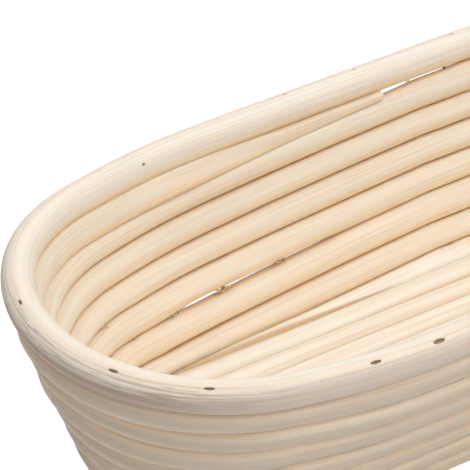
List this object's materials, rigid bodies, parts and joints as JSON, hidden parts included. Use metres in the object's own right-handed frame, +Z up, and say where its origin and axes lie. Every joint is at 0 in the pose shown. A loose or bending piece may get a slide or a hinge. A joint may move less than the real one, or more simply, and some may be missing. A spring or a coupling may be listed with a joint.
{
  "type": "proofing basket",
  "caption": "Oblong proofing basket of coiled round cane with a flat coiled floor, outward-leaning wall and a level rim hoop, which shapes and holds rising bread dough.",
  "frame": {"origin": "middle of the basket's footprint, on the surface that it stands on", "axes": "+X along the length, +Y across the width towards the side where the rows climb, +Z up"},
  "size_m": [0.3196, 0.1404, 0.0733],
  "materials": {
    "floor_cane": "bare peeled rattan, dry and matt",
    "wall_cane": "bare peeled rattan, dry and matt",
    "rim_cane": "bare peeled rattan, dry and matt",
    "nail_steel": "dull thin wire nails"
  },
  "bodies": {
    "root": {"floor_coil": "floor_cane", "wall_coil": "wall_cane", "rim_hoop": "rim_cane", "rim_nails": "nail_steel", "base_nails": "nail_steel", "floor_nails": "nail_steel", "row_nails_1": "nail_steel", "row_nails_2": "nail_steel", "row_nails_3": "nail_steel", "row_nails_4": "nail_steel", "row_nails_5": "nail_steel", "row_nails_6": "nail_steel"}
  },
  "joints": []
}
